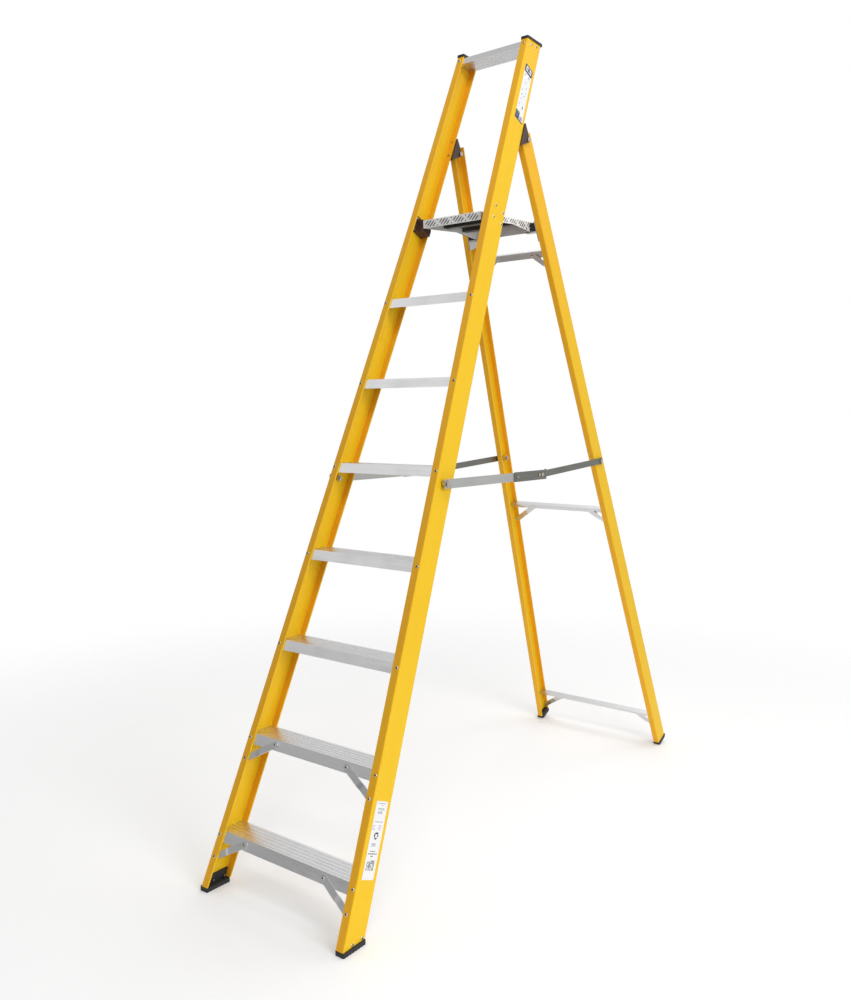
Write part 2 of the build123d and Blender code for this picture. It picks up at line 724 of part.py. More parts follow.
# ---------------------------------------------------------------- rear legs
nose_gap = 24.0                # from the hinge pin to the bevel that faces the stile
leg_levels = (leg_end_along, leg_top_along)
for side, hand in SIDES:
    with BuildPart() as leg:
        with BuildSketch(REAR):
            with BuildLine():
                Polyline(*strip(leg_half, side, 0, leg_flange, leg_levels), close=True)
            make_face()
        extrude(amount=-leg_depth)
        fillet(leg.edges().filter_by(lambda e: is_outer_edge(REAR, leg_half, e)), corner_round)
        with BuildSketch(REAR.offset(-wall)):
            with BuildLine():
                open_levels = (leg_end_along - 20, leg_top_along + 20)
                Polyline(*strip(leg_half, side, wall, leg_flange + spare, open_levels), close=True)
            make_face()
        extrude(amount=-(leg_depth - 2 * wall), mode=Mode.SUBTRACT)
        bevel_origin = place(FRONT, 0, hinge_along, hinge_deep - nose_gap)
        split(bisect_by=Plane(origin=bevel_origin, x_dir=(1, 0, 0), z_dir=FRONT.z_dir), keep=Keep.BOTTOM)
        leg_flange_planes = member_rivet_planes + rest_rivet_planes
        leg_flange_planes += [plane for plane in rear_brace_planes if plane.z_dir.Y > 0]
        with Locations(*[plane for plane in leg_flange_planes if plane.origin.X * side > 0]):
            Hole(radius=rivet_hole, depth=rivet_drill)
        with Locations(cross_plane(hinge_point, side * hinge_drill_x, side)):
            Hole(radius=hinge_pin_radius + running_gap, depth=60.0)
        with Locations(cross_plane(stay_rear_point, side * stay_drill_x, side)):
            Hole(radius=stay_bolt_radius + bolt_clearance, depth=stay_drill)
    save(leg, f"rear_leg_{hand}")

# ---------------------------------------------------------------- rear cross members
for name, top in member_tops.items():
    low = top - member_height
    with BuildPart() as member:
        for start_deep, thick, bottom in ((leaf_face, member_leaf, low),
                                          (leaf_face - member_shelf, member_shelf, top - member_leaf),
                                          (leaf_face - member_shelf, member_lip_sheet, top - member_lip)):
            with BuildSketch(REAR.offset(-start_deep)):
                with BuildLine():
                    Polyline(*between_webs(leg_half, bottom, top), close=True)
                make_face()
            extrude(amount=-thick)
        own_planes = [plane for plane in member_rivet_planes + rear_brace_planes
                      if low < REAR.to_local_coords(plane.origin).Y < top]
        with Locations(*own_planes):
            Hole(radius=rivet_hole, depth=9.5)
    save(member, f"cross_member_{name}")

# ---------------------------------------------------------------- rear feet
nose_radius = 10.0
foot_overhang = 1.5
tongue_top = 17.0
tongue_gap = 2.0
foot_low = (nose_radius - (nose_radius - foot_overhang) * sin(rear_lean)) / cos(rear_lean) - nose_radius
for side, hand in SIDES:
    outer_x = leg_half(0) + foot_overhang
    width = leg_flange + 2 * foot_overhang
    with BuildPart() as foot:
        with BuildSketch(side_plane(REAR, side * (outer_x - width))) as outline:
            with Locations((leg_depth / 2, (foot_low + leg_end_along) / 2)):
                Rectangle(leg_depth + 2 * foot_overhang, leg_end_along - foot_low)
            fillet(outline.vertices().group_by(Axis.Y)[0], nose_radius)
        extrude(amount=side * width)
        with BuildSketch(REAR.offset(-wall - tongue_gap)):
            with BuildLine():
                Polyline(*strip(leg_half, side, wall, leg_flange, (leg_end_along, tongue_top)), close=True)
            make_face()
        extrude(amount=-(leg_depth - 2 * (wall + tongue_gap)))
    save(foot, f"foot_rear_{hand}")

# ---------------------------------------------------------------- platform rests and guides
rest_low = 2018.0
rest_high = 2084.0
ledge_top_z = 1895.6           # just under the deck's rear skirt
ledge_front = 1072.0
ledge_back = 1090.0
ledge_middle = front_y + (ledge_front + ledge_back) / 2
ledge_inner_x = 92.0
guide_inner_x = 108.4
guide_top_z = 1925.0
guide_round = 6.0
leaf_inset = 6.0               # of the leaf behind the leg's rear flange
rest_inset = leg_flange + 0.3  # of the plate that covers the open side of the leg
rest_face_x = leg_half(2050.0) - rest_inset - rest_sheet / 2
for side, hand in SIDES:
    with BuildPart() as rest:
        with BuildSketch(REAR):
            with BuildLine():
                Polyline(*strip(leg_half, side, rest_inset, rest_inset + rest_sheet, (rest_low, rest_high)),
                         close=True)
            make_face()
        extrude(amount=-(leg_depth + rest_sheet))
        with BuildSketch(REAR.offset(-leg_depth)):
            with BuildLine():
                Polyline(*strip(leg_half, side, leaf_inset, rest_inset + 1.0, (rest_low, rest_high)),
                         close=True)
            make_face()
        extrude(amount=-rest_sheet)
        with BuildSketch(Plane.XY.offset(ledge_top_z)):
            with Locations((side * (ledge_inner_x + rest_face_x) / 2, ledge_middle)):
                Rectangle(rest_face_x - ledge_inner_x, ledge_back - ledge_front)
        extrude(amount=-rest_sheet)
        with Locations(*[plane for plane in rest_rivet_planes if plane.origin.X * side > 0]):
            Hole(radius=rivet_hole, depth=8.0)
    save(rest, f"platform_rest_{hand}")

with BuildPart() as platform_guides:
    for side, hand in SIDES:
        with BuildSketch(layer_plane(side * guide_inner_x)) as outline:
            with Locations((ledge_middle, (ledge_top_z + guide_top_z) / 2)):
                Rectangle(ledge_back - ledge_front, guide_top_z - ledge_top_z)
            fillet(outline.vertices().group_by(Axis.Z)[-1], guide_round)
        extrude(amount=side * (leg_half(rest_high) - rest_inset - rest_sheet - guide_inner_x - head_gap))
save(platform_guides, "platform_guides")


# ---------------------------------------------------------------- stays
def link_angle(start, end):
    """Angle of a link above the horizontal, in degrees."""
    return degrees(atan2(end.Z - start.Z, end.Y - start.Y))


def between(start, end, share):
    """(y, z) of the point that far along a link."""
    return (start.Y + (end.Y - start.Y) * share, start.Z + (end.Z - start.Z) * share)


front_length = hypot(stay_joint_point.Y - stay_front_point.Y, stay_joint_point.Z - stay_front_point.Z)
rear_length = hypot(stay_joint_point.Y - stay_rear_point.Y, stay_joint_point.Z - stay_rear_point.Z)
front_angle = link_angle(stay_front_point, stay_joint_point)
rear_angle = link_angle(stay_joint_point, stay_rear_point)
front_end = 14.0               # of the front link beyond its pivots
knuckle_rivets = (-150.0, -18.0)
knuckle_heads = (7.0, 3.8, 5.0)    # of the joint's rivet and of the other two
knuckle_thick = 2.5
knuckle_head_height = 2.2
knuckle_tab_at = 23.0          # a small lug on the knuckle's top edge, ahead of the joint
knuckle_tab = (8.0, 5.0)
front_link_corner = 5.0
knuckle_corner = 3.0
tab_corner = 2.0
knuckle_rivet_radius = 3.0
knuckle_rivet_hole = 3.1
eye_radius = 12.5              # of the rear link around its bolt
stud_radius = 4.0
stud_head = 2.5
stud_head_radius = 8.0
bolt_tail = 12.0               # of the front bolt inside the web
bolt_nut = 9.0
bolt_nut_gap = 0.7
bolt_nut_radius = 8.5
rear_bolt_tail = 21.0
rear_bolt_nut = 18.0
rear_bolt_nut_radius = 9.5

for side, hand in SIDES:
    with BuildPart() as front_link:
        with BuildSketch(layer_plane(side * front_link_x)):
            with Locations(between(stay_front_point, stay_joint_point, 0.5)):
                RectangleRounded(front_length + 2 * front_end, front_link_width, front_link_corner,
                                 rotation=front_angle)
            with Locations((stay_front_point.Y, stay_front_point.Z)):
                Circle(stay_bolt_radius + running_gap, mode=Mode.SUBTRACT)
            for reach in (0.0,) + knuckle_rivets:
                with Locations(between(stay_front_point, stay_joint_point, 1 + reach / front_length)):
                    Circle(knuckle_rivet_hole, mode=Mode.SUBTRACT)
        extrude(amount=side * stay_thick)
    save(front_link, f"stay_front_link_{hand}")

    with BuildPart() as knuckle:
        with BuildSketch(layer_plane(side * knuckle_x)):
            reach = (knuckle_ahead - knuckle_back) / 2
            with Locations(between(stay_front_point, stay_joint_point, 1 + reach / front_length)):
                RectangleRounded(knuckle_back + knuckle_ahead, knuckle_width, knuckle_corner,
                                 rotation=front_angle)
            with Locations(between(stay_front_point, stay_joint_point, 1 + knuckle_tab_at / front_length)):
                with Locations((0, knuckle_width / 2)):
                    RectangleRounded(*knuckle_tab, tab_corner, rotation=front_angle)
            for reach in (0.0,) + knuckle_rivets:
                with Locations(between(stay_front_point, stay_joint_point, 1 + reach / front_length)):
                    Circle(knuckle_rivet_hole, mode=Mode.SUBTRACT)
        extrude(amount=side * knuckle_thick)
    save(knuckle, f"stay_knuckle_{hand}")

    with BuildPart() as rear_link:
        with BuildSketch(layer_plane(side * rear_link_x)):
            with Locations(between(stay_joint_point, stay_rear_point, 0.5)):
                SlotCenterToCenter(rear_length, rear_link_width, rotation=rear_angle)
            with Locations((stay_rear_point.Y, stay_rear_point.Z)):
                Circle(eye_radius)
                Circle(stay_bolt_radius + running_gap, mode=Mode.SUBTRACT)
            with Locations((stay_joint_point.Y, stay_joint_point.Z)):
                Circle(stud_radius + bolt_clearance, mode=Mode.SUBTRACT)
        extrude(amount=side * stay_thick)
    save(rear_link, f"stay_rear_link_{hand}")

    joint_stud = make_pin(stay_joint_point, side, (
        (rear_link_x - stud_head, stud_head_radius),
        (rear_link_x, stud_radius),
        (rear_link_x + stay_thick + 0.1, 0)))
    save(joint_stud, f"stay_joint_stud_{hand}")

    front_web_x = stile_half(stay_front_along)
    front_bolt = make_pin(stay_front_point, side, (
        (front_web_x - wall - bolt_tail, stay_bolt_radius),
        (front_web_x - wall - bolt_nut, bolt_nut_radius),
        (front_web_x - wall - bolt_nut_gap, stay_bolt_radius),
        (front_web_x + 0.8, 9.0),
        (front_link_x - 0.3, stay_bolt_radius),
        (front_link_x + stay_thick + 0.3, 9.5),
        (front_link_x + stay_thick + 4.0, 0)))
    save(front_bolt, f"stay_front_bolt_{hand}")

    rear_web_x = leg_half(stay_rear_along)
    rear_bolt = make_pin(stay_rear_point, side, (
        (rear_web_x - wall - rear_bolt_tail, stay_bolt_radius),
        (rear_web_x - wall - rear_bolt_nut, rear_bolt_nut_radius),
        (rear_web_x - wall - bolt_nut_gap, stay_bolt_radius),
        (rear_web_x + 0.7, 8.0),
        (rear_link_x - 0.3, stay_bolt_radius),
        (rear_link_x + stay_thick + 0.3, 7.0),
        (rear_link_x + stay_thick + 3.6, 0)))
    save(rear_bolt, f"stay_rear_bolt_{hand}")

    with BuildPart() as joint_rivets:
        for reach, head in zip((0.0,) + knuckle_rivets, knuckle_heads):
            y, z = between(stay_front_point, stay_joint_point, 1 + reach / front_length)
            outside = knuckle_x + knuckle_thick
            for start_x, end_x, radius in ((front_link_x + 0.1, outside, knuckle_rivet_radius),
                                           (outside, outside + knuckle_head_height, head)):
                with BuildSketch(layer_plane(side * start_x)):
                    with Locations((y, z)):
                        Circle(radius)
                extrude(amount=side * (end_x - start_x))
    save(joint_rivets, f"stay_joint_rivets_{hand}")

# ---------------------------------------------------------------- rivets, grouped by frame
tread_rivet = make_rivet(wall + tread_plate)
upper_brace_rivet = make_rivet(brace_thick + tread_plate)
lower_brace_rivet = make_rivet(wall + brace_thick)
foot_rivet = make_rivet(wall + upstand_sheet)
cap_rivet = make_rivet(wall + tab_sheet)
rear_upper_rivet = make_rivet(brace_thick + member_leaf)

foot_zone_top = 100.0
cap_zone_low = 2400.0
with BuildPart() as front_frame_rivets:
    with Locations(*tread_rivet_planes):
        add(tread_rivet)
    with Locations(*[plane for plane in front_brace_planes if FRONT.to_local_coords(plane.origin).Z < -0.5]):
        add(upper_brace_rivet)
    with Locations(*[plane for plane in front_brace_planes if FRONT.to_local_coords(plane.origin).Z > -0.5]):
        add(lower_brace_rivet)
    with Locations(*[plane for plane in web_rivet_planes if plane.origin.Z < foot_zone_top]):
        add(foot_rivet)
    with Locations(*[plane for plane in web_rivet_planes if plane.origin.Z > cap_zone_low]):
        add(cap_rivet)
    with Locations(*[plane for plane in web_rivet_planes
                     if foot_zone_top < plane.origin.Z < cap_zone_low]):
        add(lower_brace_rivet)
    with Locations(*hinge_rivet_planes):
        add(lower_brace_rivet)
save(front_frame_rivets, "front_frame_rivets")

with BuildPart() as rear_frame_rivets:
    with Locations(*member_rivet_planes):
        add(lower_brace_rivet)
    with Locations(*[plane for plane in rear_brace_planes if plane.z_dir.Y < 0]):
        add(rear_upper_rivet)
    with Locations(*[plane for plane in rear_brace_planes if plane.z_dir.Y > 0]):
        add(lower_brace_rivet)
    with Locations(*rest_rivet_planes):
        add(lower_brace_rivet)
save(rear_frame_rivets, "rear_frame_rivets")
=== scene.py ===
"""Looks of a platform step ladder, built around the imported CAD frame.

Metres, +Z up, X across the ladder, the climber comes from -Y, origin in the middle of the base.
"""
import json
import math
import random

import bpy
from mathutils import Matrix, Vector


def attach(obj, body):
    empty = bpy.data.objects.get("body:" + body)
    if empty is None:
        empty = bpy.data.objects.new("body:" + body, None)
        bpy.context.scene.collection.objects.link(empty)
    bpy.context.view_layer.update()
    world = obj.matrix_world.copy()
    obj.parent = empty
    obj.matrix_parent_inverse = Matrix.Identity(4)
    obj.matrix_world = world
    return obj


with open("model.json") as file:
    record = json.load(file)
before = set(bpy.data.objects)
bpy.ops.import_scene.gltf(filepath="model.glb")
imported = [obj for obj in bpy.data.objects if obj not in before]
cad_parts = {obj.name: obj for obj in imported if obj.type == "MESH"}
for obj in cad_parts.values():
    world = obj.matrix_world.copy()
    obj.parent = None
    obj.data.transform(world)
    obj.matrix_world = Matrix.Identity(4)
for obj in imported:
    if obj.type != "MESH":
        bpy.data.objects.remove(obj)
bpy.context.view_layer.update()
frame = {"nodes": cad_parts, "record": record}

# ---------------------------------------------------------------- the front frame
FRONT_LEAN = math.radians(22.0)       # each frame's tilt from upright
REAR_LEAN = math.radians(22.5)
FRONT_Y = -0.9581                     # the stiles' front face on the floor
BEND_ALONG = 2.051                    # the stiles' bend, along them from the floor
STILE_TOP_ALONG = 2.669
STILE_HALF = ((0.0, 0.2605), (BEND_ALONG, 0.1524), (STILE_TOP_ALONG, 0.1334))


def stile_half(along):
    """Outer half width of the front frame."""
    points = STILE_HALF[:2] if along <= BEND_ALONG else STILE_HALF[1:]
    (low, low_half), (high, high_half) = points
    return low_half + (high_half - low_half) * (along - low) / (high - low)


def on_front(x, along, deep):
    """Point of the front frame: across, along the stile from the floor, behind its front face."""
    return Vector((x, FRONT_Y + along * math.sin(FRONT_LEAN) + deep * math.cos(FRONT_LEAN),
                   along * math.cos(FRONT_LEAN) - deep * math.sin(FRONT_LEAN)))


# ---------------------------------------------------------------- materials
MIX_FIRST, MIX_SECOND, MIX_RESULT = 6, 7, 2      # the Mix node's colour sockets


class Shader:
    """A material under construction: short calls that add and join nodes."""

    def __init__(self, name, roughness=0.5, metallic=0.0, **sockets):
        self.material = bpy.data.materials.new(name)
        self.material.use_nodes = True
        self.tree = self.material.node_tree
        self.tree.nodes.clear()
        self.output = self.add("ShaderNodeOutputMaterial")
        self.surface = self.add("ShaderNodeBsdfPrincipled")
        self.join(self.surface.outputs[0], self.output.inputs["Surface"])
        self.surface.inputs["Roughness"].default_value = roughness
        self.surface.inputs["Metallic"].default_value = metallic
        for label, value in sockets.items():
            self.surface.inputs[label.replace("_", " ")].default_value = value
        self.place = self.add("ShaderNodeTexCoord").outputs["Object"]

    def add(self, kind):
        return self.tree.nodes.new(kind)

    def join(self, start, end):
        self.tree.links.new(start, end)

    def turned(self, angle=0.0, scale=(1, 1, 1)):
        """Object coordinates turned about X, then scaled: a leaning piece's own axes."""
        turn = self.add("ShaderNodeMapping")
        turn.inputs["Rotation"].default_value = (angle, 0, 0)
        self.join(self.place, turn.inputs["Vector"])
        stretch = self.add("ShaderNodeMapping")
        stretch.inputs["Scale"].default_value = scale
        self.join(turn.outputs[0], stretch.inputs["Vector"])
        return stretch.outputs[0]

    def noise(self, vector, scale, detail=3.0, rough=0.55):
        node = self.add("ShaderNodeTexNoise")
        node.inputs["Scale"].default_value = scale
        node.inputs["Detail"].default_value = detail
        node.inputs["Roughness"].default_value = rough
        self.join(vector, node.inputs["Vector"])
        return node.outputs["Fac"]

    def spread(self, value, low, high, to_low=0.0, to_high=1.0):
        """Map Range, held inside its ends."""
        node = self.add("ShaderNodeMapRange")
        ends = {"From Min": low, "From Max": high, "To Min": to_low, "To Max": to_high}
        for label, number in ends.items():
            node.inputs[label].default_value = number
        self.join(value, node.inputs["Value"])
        return node.outputs[0]

    def maths(self, first, second, kind="ADD"):
        node = self.add("ShaderNodeMath")
        node.operation = kind
        for socket, value in zip(node.inputs, (first, second)):
            if isinstance(value, (int, float)):
                socket.default_value = value
            else:
                self.join(value, socket)
        return node.outputs[0]

    def blend(self, factor, first, second):
        node = self.add("ShaderNodeMix")
        node.data_type = "RGBA"
        self.join(factor, node.inputs["Factor"])
        for socket, value in zip((node.inputs[MIX_FIRST], node.inputs[MIX_SECOND]), (first, second)):
            if isinstance(value, tuple):
                socket.default_value = (*value, 1.0)
            else:
                self.join(value, socket)
        return node.outputs[MIX_RESULT]

    def colour(self, output):
        self.join(output, self.surface.inputs["Base Color"])

    def rough(self, output):
        self.join(output, self.surface.inputs["Roughness"])

    def bump(self, height, strength, distance):
        node = self.add("ShaderNodeBump")
        node.inputs["Strength"].default_value = strength
        node.inputs["Distance"].default_value = distance
        self.join(height, node.inputs["Height"])
        self.join(node.outputs[0], self.surface.inputs["Normal"])


YELLOW_LOW = (0.89, 0.555, 0.012)
# the upper colour is painted shade: the stiles' upper part, where less light falls, drawn more orange and
# darker than the lower
YELLOW_HIGH_SHADE = (0.89, 0.44, 0.020)
# the flange colour is painted shade: faces that don't face across the ladder, mostly the flanges, drawn
# more orange and darker than the webs
YELLOW_FLANGE_SHADE = (0.89, 0.44, 0.022)
RUBBER_TONE = (0.016, 0.016, 0.018)
DUST_TONE = (0.075, 0.072, 0.068)
PLATE_TONES = ((0.96, 0.96, 0.96), (0.86, 0.86, 0.86))
# painted shade: the colour of the plate's faces turned downward, which get little light
PLATE_UNDERSIDE_SHADE = (0.045, 0.043, 0.040)
RIVET_TONES = ((0.70, 0.66, 0.56), (0.42, 0.38, 0.30))
# painted shade: the colour of the mandrel hole and of narrow gaps, and how far the occlusion that draws it
# reaches
RIVET_HOLE_SHADE = (0.025, 0.022, 0.018)
RIVET_SHADE_REACH = 0.004
STAIN_SHADE = 0.7
INK_SHADE = 0.88
SCUFF_TONE = (0.52, 0.36, 0.10)
STREAK_SHADE = (0.93, 0.80, 0.55)                # shares of the colour below
CLOUD_SHADE = (1.03, 1.08, 1.3)
STREAKS = (240, 240, 2.2)                        # noise per metre across the fibres and along them
FIBRES = (900, 900, 60)
SCUFFS = (70, 70, 28)
PLAIN_GRAIN = (90, 90, 90)
ALONG_X = (4.0, 520.0, 520.0)
ALONG_Y = (520.0, 4.0, 520.0)


def fibreglass(name, lean, lower, upper, shade_from, shade_to):
    """Pultruded glass fibre: lengthwise streaks, fibre print, small scuffs; painted shade draws the flanges
    and the upper part more orange and darker.
    """
    shader = Shader(name, IOR=1.45, Specular_IOR_Level=0.22)
    streaks = shader.noise(shader.turned(lean, STREAKS), 1.0, 3.0)
    fibres = shader.noise(shader.turned(lean, FIBRES), 1.0, 2.0)
    clouds = shader.noise(shader.turned(lean), 3.2, 4.0)
    scuffs = shader.spread(shader.noise(shader.turned(lean, SCUFFS), 1.0, 6.0, 0.7), 0.66, 0.80)
    along = shader.add("ShaderNodeSeparateXYZ")
    shader.join(shader.turned(lean), along.inputs[0])
    # painted shade: between these heights along the stile the colour blends towards the darker, more orange
    # upper colour
    height = shader.spread(along.outputs["Z"], shade_from, shade_to)
    facing = shader.add("ShaderNodeSeparateXYZ")
    shader.join(shader.add("ShaderNodeNewGeometry").outputs["Normal"], facing.inputs[0])
    # painted shade by facing: faces turned away from the sides take the darker flange colour
    unshaded_web_mask = shader.spread(shader.maths(facing.outputs["X"], 0.0, "ABSOLUTE"), 0.5, 0.9)
    base = shader.blend(unshaded_web_mask, YELLOW_FLANGE_SHADE, shader.blend(height, lower, upper))
    darker = tuple(c * f for c, f in zip(lower, STREAK_SHADE))
    lighter = tuple(min(1.0, c * f) for c, f in zip(lower, CLOUD_SHADE))
    base = shader.blend(shader.spread(streaks, 0.40, 0.75, 0.0, 0.30), base, darker)
    base = shader.blend(shader.spread(clouds, 0.45, 0.72, 0.0, 0.22), base, lighter)
    base = shader.blend(shader.spread(scuffs, 0.0, 1.0, 0.0, 0.16), base, SCUFF_TONE)
    shader.colour(base)
    shader.rough(shader.maths(shader.spread(streaks, 0.3, 0.7, 0.34, 0.46),
                            shader.spread(scuffs, 0.0, 1.0, 0.0, 0.12)))
    shader.bump(shader.maths(streaks, shader.maths(fibres, 0.6, "MULTIPLY")), 0.22, 0.00025)
    return shader.material


def brushed(name, base, roughness, stretch, lean=0.0, dark=0.82, bump=0.12, stain=0.12, metallic=1.0):
    """Drawn or brushed metal: fine lines along one direction, faint stains and wear."""
    shader = Shader(name, metallic=metallic)
    lines = shader.noise(shader.turned(lean, stretch), 1.0, 4.0, 0.6)
    clouds = shader.noise(shader.turned(lean), 9.0, 5.0, 0.6)
    specks = shader.spread(shader.noise(shader.turned(lean), 260.0, 3.0), 0.62, 0.75)
    shade = tuple(c * dark for c in base)
    mix = shader.blend(shader.spread(lines, 0.35, 0.7, 0.0, 0.55), base, shade)
    stained = tuple(c * STAIN_SHADE for c in base)
    mix = shader.blend(shader.spread(clouds, 0.5, 0.75, 0.0, stain), mix, stained)
    mix = shader.blend(shader.spread(specks, 0.0, 1.0, 0.0, 0.18), mix, shade)
    shader.colour(mix)
    shader.rough(shader.maths(shader.spread(lines, 0.3, 0.7, roughness - 0.07, roughness + 0.07),
                            shader.spread(clouds, 0.45, 0.75, 0.0, 0.08)))
    shader.bump(shader.maths(lines, shader.maths(specks, 0.4, "MULTIPLY")), bump, 0.0002)
    return shader.material


def moulded_rubber(name):
    """Black rubber with a fine grain, dusty in places."""
    shader = Shader(name, roughness=0.72)
    grain = shader.noise(shader.place, 900.0, 3.0)
    dust = shader.noise(shader.place, 38.0, 5.0, 0.65)
    shader.colour(shader.blend(shader.spread(dust, 0.5, 0.8, 0.0, 0.45), RUBBER_TONE, DUST_TONE))
    shader.rough(shader.spread(dust, 0.35, 0.7, 0.55, 0.82))
    shader.bump(grain, 0.25, 0.0003)
    return shader.material


def painted(name, base, worn):
    """Dark painted steel: slight orange peel, worn to a lighter tone in spots."""
    shader = Shader(name, metallic=0.35)
    peel = shader.noise(shader.place, 420.0, 2.0)
    wear = shader.noise(shader.place, 60.0, 6.0, 0.7)
    shader.colour(shader.blend(shader.spread(wear, 0.56, 0.72, 0.0, 0.6), base, worn))
    shader.rough(shader.spread(wear, 0.4, 0.7, 0.36, 0.55))
    shader.bump(peel, 0.15, 0.0003)
    return shader.material


def printed(name, base):
    """Printed vinyl film: slightly uneven ink and a soft gloss."""
    shader = Shader(name, Coat_Weight=0.3, Coat_Roughness=0.15)
    uneven = shader.noise(shader.place, 160.0, 3.0)
    shade = tuple(c * INK_SHADE for c in base)
    shader.colour(shader.blend(shader.spread(uneven, 0.35, 0.7, 0.0, 0.5), base, shade))
    shader.rough(shader.spread(uneven, 0.3, 0.7, 0.38, 0.5))
    shader.bump(uneven, 0.06, 0.0002)
    return shader.material


def chequer_sheet(name):
    """The chequer plate's ground: dull between the bars, with painted shade on its underside."""
    shader = Shader(name, metallic=0.2, Specular_IOR_Level=0.35)
    clouds = shader.noise(shader.place, 30.0, 5.0, 0.6)
    specks = shader.noise(shader.place, 300.0, 3.0)
    facing = shader.add("ShaderNodeSeparateXYZ")
    shader.join(shader.add("ShaderNodeNewGeometry").outputs["Normal"], facing.inputs[0])
    # painted shade on the faces that look down
    underside_shade_mask = shader.spread(facing.outputs["Z"], -0.9, -0.4, 1.0, 0.0)
    ground = shader.blend(shader.spread(clouds, 0.4, 0.7), *PLATE_TONES)
    shader.colour(shader.blend(underside_shade_mask, ground, PLATE_UNDERSIDE_SHADE))
    shader.rough(shader.spread(specks, 0.3, 0.7, 0.34, 0.50))
    shader.bump(specks, 0.15, 0.0002)
    return shader.material


def rivet_steel(name):
    """Bright rivet heads, with painted shade inside the mandrel hole and in narrow gaps."""
    shader = Shader(name, metallic=1.0)
    stains = shader.noise(shader.place, 180.0, 4.0)
    # painted shade from ambient occlusion, dark in the hole and in narrow gaps
    hole_shade = shader.add("ShaderNodeAmbientOcclusion")
    hole_shade.inputs["Distance"].default_value = RIVET_SHADE_REACH
    head = shader.blend(shader.spread(stains, 0.4, 0.7), *RIVET_TONES)
    shader.colour(shader.blend(shader.spread(hole_shade.outputs["AO"], 0.45, 0.92), RIVET_HOLE_SHADE, head))
    shader.rough(shader.spread(stains, 0.3, 0.7, 0.26, 0.44))
    shader.bump(stains, 0.1, 0.0002)
    return shader.material


looks = {
    # the last two numbers are the heights along each frame between which its painted shade of the upper
    # part blends in
    "fibreglass_front": fibreglass("fibreglass_front", FRONT_LEAN, YELLOW_LOW, YELLOW_HIGH_SHADE, 2.15, 2.5),
    "fibreglass_rear": fibreglass("fibreglass_rear", -REAR_LEAN, YELLOW_LOW, YELLOW_HIGH_SHADE, 1.2, 2.2),
    "tread_aluminium": brushed("tread_aluminium", (0.90, 0.90, 0.91), 0.31, ALONG_X, dark=0.9),
    "chequer_aluminium": chequer_sheet("chequer_aluminium"),
    "brace_aluminium": brushed("brace_aluminium", (0.76, 0.76, 0.77), 0.36, ALONG_X, stain=0.2),
    "black_rubber": moulded_rubber("black_rubber"),
    "bracket_steel": painted("bracket_steel", (0.085, 0.050, 0.040), (0.24, 0.16, 0.12)),
    "stay_zinc": brushed("stay_zinc", (0.62, 0.63, 0.61), 0.42, ALONG_Y, stain=0.25),
    "stay_steel": brushed("stay_steel", (0.26, 0.26, 0.24), 0.45, ALONG_Y, stain=0.3),
    "fastener_steel": rivet_steel("fastener_steel"),
    # painted shade: the stiffeners under the deck drawn as dark aluminium
    "stiffener_shaded_aluminium": brushed("stiffener_shaded_aluminium", (0.12, 0.12, 0.115), 0.5, ALONG_X, stain=0.3),
    # painted shade: the raised bars are drawn as dark aluminium and their lowest ring darker still,
    # standing in for the shade and dark reflections along the bars
    "bar_shaded_aluminium": brushed("bar_shaded_aluminium", (0.15, 0.15, 0.15), 0.30, PLAIN_GRAIN, dark=0.85),
    "bar_flank_shade": brushed("bar_flank_shade", (0.035, 0.035, 0.035), 0.45, PLAIN_GRAIN, dark=0.8),
}
for entry in frame["record"]["subparts"]:
    slot = entry["material_slot"]
    if slot == "fibreglass":
        slot = "fibreglass_rear" if entry["node"].startswith("rear") else "fibreglass_front"
    # the stiffeners under the deck take the dark look, which is painted shade
    if entry["node"] == "platform_stiffeners":
        slot = "stiffener_shaded_aluminium"
    mesh = frame["nodes"][entry["node"]].data
    mesh.materials.clear()
    mesh.materials.append(looks[slot])


# ---------------------------------------------------------------- pieces
def new_piece(name, vertices, faces, materials, body, faces_of=None, smooth=False):
    """A mesh piece that rides on a body, finished with the given materials."""
    mesh = bpy.data.meshes.new(name)
    mesh.from_pydata([tuple(v) for v in vertices], [], faces)
    for material in materials:
        mesh.materials.append(material)
    if faces_of:
        mesh.polygons.foreach_set("material_index", faces_of)
    mesh.polygons.foreach_set("use_smooth", [smooth] * len(faces))
    mesh.update()
    piece = bpy.data.objects.new(name, mesh)
    bpy.context.scene.collection.objects.link(piece)
    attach(piece, body)
    return piece


# ---------------------------------------------------------------- raised bars of the chequer plate
BLOCK = 0.0375                 # side of one block of parallel bars, turned 45 degrees
BAR_PITCH = 0.0084
BAR_LENGTH = 0.031
BAR_WIDTH = 0.0036
BAR_HEIGHT = 0.0012
SKIRT_BAR_HEIGHT = 0.0009
BAR_SUNK = 0.0003              # how far a bar's base goes into the sheet
BAR_SHORTEST = 0.004
BARS = 4
SLANT = math.pi / 4
BLOCKS_EACH_WAY = 12
PARALLEL = 1e-12
BAR_SHARES = (0.0, 0.08, 0.22, 0.5, 0.78, 0.92, 1.0)        # stations along a bar
BAR_WIDTHS = (0.15, 0.55, 0.85, 1.0, 0.85, 0.55, 0.15)       # and its width there


